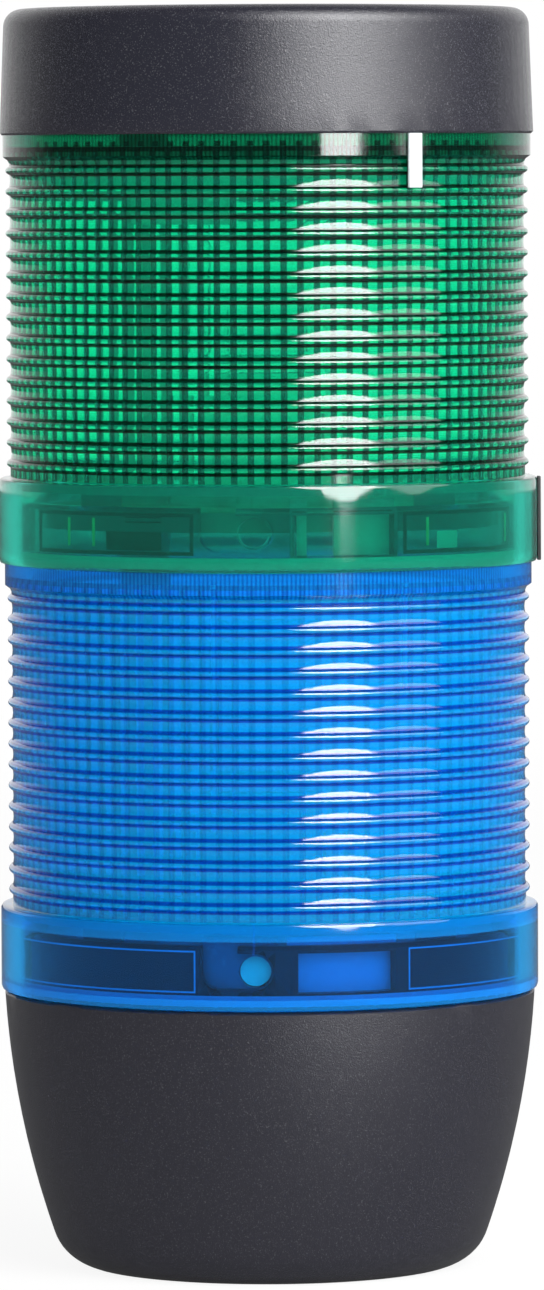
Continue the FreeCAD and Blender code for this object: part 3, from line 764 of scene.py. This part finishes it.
def place_module(node, body, level, wall, collar, neck):
    piece = module.copy()
    piece.data = module.data.copy()
    bpy.context.scene.collection.objects.link(piece)
    piece.data.transform(Matrix.Translation((0, 0, level)))
    settle(piece, node + "_moulding")
    finish_with(piece, wall)
    piece.data.materials.append(collar)
    piece.data.materials.append(neck)
    for face in piece.data.polygons:
        rise = face.center.z - level
        if rise > PITCH:
            face.material_index = NECK_FINISH
        elif WINDOW_LOW < rise < WINDOW_HIGH:
            face.material_index = COLLAR_FINISH
        else:
            face.material_index = WALL_FINISH
    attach(piece, body)
    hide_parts(node)
    report(piece)


place_module(
    "blue_lens", "blue_module", LENS_LOW.z, blue_wall, blue_collar, blue_neck)
place_module(
    "green_lens", "green_module", LENS_LOW.z + PITCH, green_wall, green_collar, green_collar)
bpy.data.objects.remove(module)

# %% [markdown]
# ## Black shells and inner parts
# These keep the CAD shapes, merged and smoothed, with their own finishes. The cap's flat top is
# matt and its round side has a satin shine.

# %% Smooth copies
FLAT = 0.99
cap = smooth_copy("cap_shell", "cap_cover", "cap")
finish_with(cap, black_cap)
cap.data.materials.append(black_top)
cap_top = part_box("cap_shell")[1][2]
for face in cap.data.polygons:
    if face.normal.z > FLAT and face.center.z > cap_top - 0.05 * MM:
        face.material_index = 1
base = smooth_copy("base_housing", "base_barrel", "base")
finish_with(base, black_shell)
seal = smooth_copy("base_seal", "base_seal_ring", "base")
finish_with(seal, pale_rubber)

# %% [markdown]
# Behind the clear collars the contact parts of each joint show as plates, frames and springs that
# follow the round wall. Each is a small section, drawn as a plane and spun through a short arc.

# %% Tools for curved plates
DEGREES_A_STEP = 3.0


def arc_slab(inner, outer, low, high, start, end):
    """A plate that follows the round wall; start and end are degrees from the front."""
    clear_selection()
    bpy.ops.mesh.primitive_plane_add(size=1)
    piece = bpy.context.object
    turn = math.radians(start)
    for vertex in piece.data.vertices:
        radius = outer if vertex.co.x > 0 else inner
        level = high if vertex.co.y > 0 else low
        vertex.co = (radius * math.sin(turn), -radius * math.cos(turn), level)
    steps = max(1, round(abs(end - start) / DEGREES_A_STEP))
    bpy.ops.object.mode_set(mode="EDIT")
    bpy.ops.mesh.select_all(action="SELECT")
    bpy.ops.mesh.spin(steps=steps, angle=math.radians(start - end), center=(0, 0, 0), axis=(0, 0, 1))
    bpy.ops.mesh.select_all(action="SELECT")
    bpy.ops.mesh.normals_make_consistent(inside=False)
    bpy.ops.object.mode_set(mode="OBJECT")
    return piece


def arc_frame(inner, outer, low, high, start, end, line):
    """Four slabs round an opening, as one outline."""
    side = math.degrees(line / outer)
    return [
        arc_slab(inner, outer, low, low + line, start, end),
        arc_slab(inner, outer, high - line, high, start, end),
        arc_slab(inner, outer, low + line, high - line, start, start + side),
        arc_slab(inner, outer, low + line, high - line, end - side, end),
    ]


def inner_piece(slabs, name, body, finish):
    piece = join(slabs, name)
    apply_modifier(piece, "BEVEL", width=0.08 * MM, segments=2, limit_method="ANGLE")
    bpy.ops.object.shade_smooth_by_angle(angle=math.radians(30))
    finish_with(piece, finish)
    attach(piece, body)
    report(piece)
    return piece


# %% [markdown]
# A plate stands behind the neck or lies on its face. Heights are given in millimetres above the
# foot of the joint, and places round the tower in degrees from the front.

# %% Plates on a neck
BEHIND = (NECK_INSIDE - 0.65 * MM, NECK_INSIDE - 0.1 * MM)
FACE = (NECK_RADIUS + 0.005 * MM, NECK_RADIUS + 0.055 * MM)
PLATE_LOW = 1.2
PLATE_HIGH = 9.2
RAIL_LOW = 2.2
RAIL_HIGH = NECK_HEIGHT / MM - 0.6
PALE_LINE = 0.22 * MM
DARK_LINE = 0.5 * MM


def at_level(foot, low, high):
    return foot + low * MM, foot + high * MM


def back_plate(foot, start, end):
    return arc_slab(*BEHIND, *at_level(foot, PLATE_LOW, PLATE_HIGH), start, end)


def face_plate(foot, low, high, start, end):
    return arc_slab(*FACE, *at_level(foot, low, high), start, end)


def face_frame(foot, start, end, line):
    return arc_frame(*FACE, *at_level(foot, RAIL_LOW, RAIL_HIGH), start, end, line)


print("neck height %.2f mm" % (NECK_HEIGHT / MM))

# %% Behind the blue collar
base_foot = LENS_LOW.z
rails = face_frame(base_foot, -77, -16.5, PALE_LINE) + face_frame(base_foot, 32, 71, PALE_LINE)
inner_piece(rails, "base_neck_rails", "base", white_moulding)
inner_piece([back_plate(base_foot, -16, 2)],
            "base_slot_plate", "base", grey_moulding)
inner_piece([back_plate(base_foot, 4, 31)],
            "base_contact_plate", "base", white_moulding)

# %% Behind the green collar
SPRING_TURNS = (-49.5, -42, 37, 63.5)
SPRING_WIDTH = 0.8
blue_foot = LENS_LOW.z + PITCH
frames = face_frame(blue_foot, -60, -16.5, DARK_LINE) + face_frame(blue_foot, 31, 66, DARK_LINE)
frames += [
    face_plate(blue_foot, 2.8, 5.2, -38, -24),
    face_plate(blue_foot, 6.3, 6.5, -33, -24),
    face_plate(blue_foot, 6.9, 7.1, -33, -24),
]
inner_piece(frames, "blue_contact_frames", "blue_module", dark_moulding)
plates = [
    back_plate(blue_foot, 5, 9),
    back_plate(blue_foot, 15.5, 31),
    face_plate(blue_foot, 2.8, 5.0, 40, 46),
]
inner_piece(plates, "blue_contact_plates", "blue_module", pale_moulding)
springs = [face_plate(blue_foot, 3.2, 6.8, turn, turn + SPRING_WIDTH) for turn in SPRING_TURNS]
inner_piece(springs, "blue_contact_springs", "blue_module", brass)

# %% A pale disc in the end of the lug, as painted light on its lit end
DISC_SHARE = 0.95
DISC_PROUD = 0.06 * MM
DISC_DEPTH = 0.3 * MM
# Painted highlight: the white disc makes the end of the blue lug look lit.
disc = peg(LUG_RADIUS * DISC_SHARE, NECK_INSIDE - DISC_PROUD, NECK_INSIDE + DISC_DEPTH,
           base_foot + LUG_LEVEL, -LUG_ANGLE)
inner_piece([disc], "blue_lug_painted_highlight", "blue_module", white_moulding)

# %% [markdown]
# High in the green lens a grey ring follows the wall, with a block below it. In the blue lens two
# thin leads reach up to the shoulder; their white is a painted highlight for the glint on metal leads.

# %% The ring, the block and the leads
RING_NEAR = WALL_INSIDE - 3.4 * MM
RING_FAR = WALL_INSIDE - 0.9 * MM
RING_LEVELS = (-7.5, -1.55)
BLOCK_LEVELS = (-11.5, -7.6)
LEAD_TURNS = (-13, 32)
LEAD_WIDTH = 1.2
LEAD_THICKNESS = 0.35 * MM
LEAD_GAP = 0.25 * MM
LEAD_ROOT = 0.05 * MM
cap_level = LENS_LOW.z + PITCH * 2
ring = arc_slab(RING_NEAR, RING_FAR, *at_level(cap_level, *RING_LEVELS), -178, 178)
hanging = arc_slab(RING_NEAR, RING_FAR, *at_level(cap_level, *BLOCK_LEVELS), -33, -9)
inner_piece([ring, hanging], "green_contact_block", "green_module", grey_moulding)
# The leads are white: a painted highlight that stands in for the glints along metal leads.
lead_far = WALL_INSIDE - LEAD_GAP
lead_low = base_foot + 40 * MM
lead_high = base_foot + SHOULDER_LEVEL + LEAD_ROOT
leads = [
    arc_slab(lead_far - LEAD_THICKNESS, lead_far, lead_low, lead_high, turn, turn + LEAD_WIDTH)
    for turn in LEAD_TURNS
]
inner_piece(leads, "blue_lead_strips", "blue_module", white_moulding)

# %% [markdown]
# The white bar and the black strip are pressed into the walls; a small bevel takes the sharpness
# off their edges. The bulbs are thin glass, so their solid copies get a wall.

# %% Marks
for node, name, slot, finish in (
        ("alignment_bar", "white_bar", "white_mark", white_plastic),
        ("index_strip", "black_strip", "black_mark", black_mark)):
    mark = smooth_copy(node, name, "green_module")
    apply_modifier(mark, "BEVEL", width=0.12 * MM, segments=3, limit_method="ANGLE")
    finish_with(mark, finish)
    report(mark)

# %% Bulbs
for colour in ("blue", "green"):
    bulb = smooth_copy(
        colour + "_bulb_glass", colour + "_bulb_envelope", colour + "_module")
    apply_modifier(bulb, "SOLIDIFY", thickness=0.5 * MM, offset=-1.0)
    finish_with(bulb, bulb_glass)
    report(bulb)

# %% Finishes for the nodes that stay
FINISH_OF_SLOT = {
    "black_plastic": black_shell,
    "dark_plastic": dark_moulding,
    "pale_plastic": pale_moulding,
    "seal_rubber": pale_rubber,
    "brass": brass,
    "socket_metal": nickel,
    "steel": steel,
    "bulb_glass": bulb_glass,
    "white_mark": white_plastic,
    "black_mark": black_mark,
    "green_lens": green_wall,
    "blue_lens": blue_wall,
}
for entry in frame["record"]["subparts"]:
    node = bpy.data.objects[entry["node"]]
    finish = FINISH_OF_SLOT[entry["material_slot"]]
    if "column" in entry["node"] or "contact_plate" in entry["node"]:
        finish = grey_moulding
    if "bulb_cap" in entry["node"]:
        finish = nickel
    if node.data.materials:
        for index in range(len(node.data.materials)):
            node.data.materials[index] = finish
    else:
        node.data.materials.append(finish)

# %% [markdown]
# ## Camera, floor and light
# The tower is seen from a little over a metre away with a long lens, from just below its top. Two
# tall soft lights stand together to the right of the camera and make the upright streak on every
# piece. A third lights the right side, and a fill on the left is never mirrored.

# %% Camera
DISTANCE = 1.1
EYE = 0.1427
AIM = 0.0806
SIDE_STEP = 0.00045
ROLL = math.radians(-0.24)
bpy.ops.object.camera_add(location=(SIDE_STEP, -DISTANCE, EYE))
camera = bpy.context.object
camera.data.lens = 236.0
camera.data.sensor_width = 36.0
camera.data.clip_start = 0.01
direction = Vector((SIDE_STEP, 0, AIM)) - camera.location
upright = direction.to_track_quat("-Z", "Y")
camera.rotation_euler = (upright @ Matrix.Rotation(ROLL, 3, "Z").to_quaternion()).to_euler()
bpy.context.scene.camera = camera
print("camera at", tuple(round(v, 4) for v in camera.location))

# %% [markdown]
# The floor glows white for the camera and keeps only a faint shadow near the tower. Through the
# clear plastic and in reflections it is darker, and so is the world in most directions, which
# gives the tower its dark edges.

# %% A soft change between two levels


def ramp(tree, value, start, end, low, high):
    """A smooth change from low to high while the value goes from start to end."""
    node = tree.nodes.new("ShaderNodeMapRange")
    node.interpolation_type = "SMOOTHSTEP"
    set_inputs(node, {"From Min": start, "From Max": end, "To Min": low, "To Max": high})
    tree.links.new(value, node.inputs["Value"])
    return node.outputs[0]


# %% Floor
SHADOW_REACH = (0.35, 1.1)
FLOOR_GLOW = (0.9, 1.0)
FLOOR_LEVELS = {"Is Transmission Ray": 0.85, "Is Glossy Ray": 0.12}
clear_selection()
bpy.ops.mesh.primitive_plane_add(size=6, location=(0, 0, 0))
floor = bpy.context.object
floor.name = "studio_floor"
floor_material, nodes, links, shader = new_material("studio_floor")
shader.inputs["Base Color"].default_value = (0.9, 0.9, 0.9, 1)
set_inputs(shader, {"Roughness": 0.8, "Specular IOR Level": 0.2})
tree = floor_material.node_tree
path = nodes.new("ShaderNodeLightPath")
seen = path.outputs["Is Camera Ray"]
light = path.outputs["Is Camera Ray"]
for ray, level in FLOOR_LEVELS.items():
    seen = maths(tree, "MAXIMUM", seen, path.outputs[ray])
    light = maths(tree, "MAXIMUM", light, maths(tree, "MULTIPLY", path.outputs[ray], level))
glow = nodes.new("ShaderNodeEmission")
links.new(light, glow.inputs["Strength"])
far = nodes.new("ShaderNodeVectorMath")
far.operation = "LENGTH"
links.new(object_coordinates(tree), far.inputs[0])
share = ramp(tree, far.outputs["Value"], *SHADOW_REACH, *FLOOR_GLOW)
blend = nodes.new("ShaderNodeMixShader")
links.new(maths(tree, "MULTIPLY", seen, share), blend.inputs[0])
links.new(shader.outputs[0], blend.inputs[1])
links.new(glow.outputs[0], blend.inputs[2])
links.new(blend.outputs[0], nodes["Material Output"].inputs["Surface"])
finish_with(floor, floor_material)

# %% World
DIFFUSE_LEVEL = 0.5
world = bpy.data.worlds.new("studio")
bpy.context.scene.world = world
world.use_nodes = True
tree = world.node_tree
background = tree.nodes["Background"]
path = tree.nodes.new("ShaderNodeLightPath")
way = tree.nodes.new("ShaderNodeTexCoord")
axes = tree.nodes.new("ShaderNodeSeparateXYZ")
tree.links.new(way.outputs["Generated"], axes.inputs[0])

height = maths(tree, "ABSOLUTE", axes.outputs["Z"])
horizon = ramp(tree, height, 0.65, 1.0, 1.27, 0.3)
backdrop = ramp(tree, axes.outputs["Y"], 0.25, 0.97, 0.06, 1.0)
through = maths(tree, "MULTIPLY", path.outputs["Is Transmission Ray"], horizon)
gloss = maths(tree, "MULTIPLY", path.outputs["Is Glossy Ray"], backdrop)
diffuse = maths(tree, "MULTIPLY", path.outputs["Is Diffuse Ray"], DIFFUSE_LEVEL)
strength = maths(tree, "MAXIMUM", through, gloss)
strength = maths(tree, "MAXIMUM", strength, maths(tree, "MAXIMUM", diffuse, path.outputs["Is Camera Ray"]))
tree.links.new(strength, background.inputs["Strength"])
background.inputs["Color"].default_value = (1, 1, 1, 1)

# %% Lamps
LAMP_AIM = Vector((0, 0, 0.08))


def soft_light(name, shape, turn, distance, level, width, height, power):
    light = bpy.data.lights.new(name, "AREA")
    light.shape = shape
    light.size = width
    light.size_y = height
    light.energy = power
    lamp = bpy.data.objects.new(name, light)
    bpy.context.scene.collection.objects.link(lamp)
    turn = math.radians(turn)
    lamp.location = (distance * math.sin(turn), -distance * math.cos(turn), level)
    lamp.rotation_euler = (LAMP_AIM - lamp.location).to_track_quat("-Z", "Y").to_euler()
    lamp.visible_transmission = False
    return lamp


soft_light("key_softbox", "ELLIPSE", 33, 0.9, 0.60, 0.68, 1.2, 13.5)
sheen = soft_light("sheen_softbox", "ELLIPSE", 32, 0.88, 0.58, 0.58, 1.2, 19.0)
sheen.visible_diffuse = False
soft_light("side_softbox", "ELLIPSE", 64, 0.9, 0.60, 0.8, 1.1, 7.0)
fill = soft_light("fill_softbox", "RECTANGLE", -60, 1.2, 0.4, 0.8, 1.0, 5.5)
fill.visible_glossy = False
bpy.context.scene.view_settings.view_transform = "Standard"
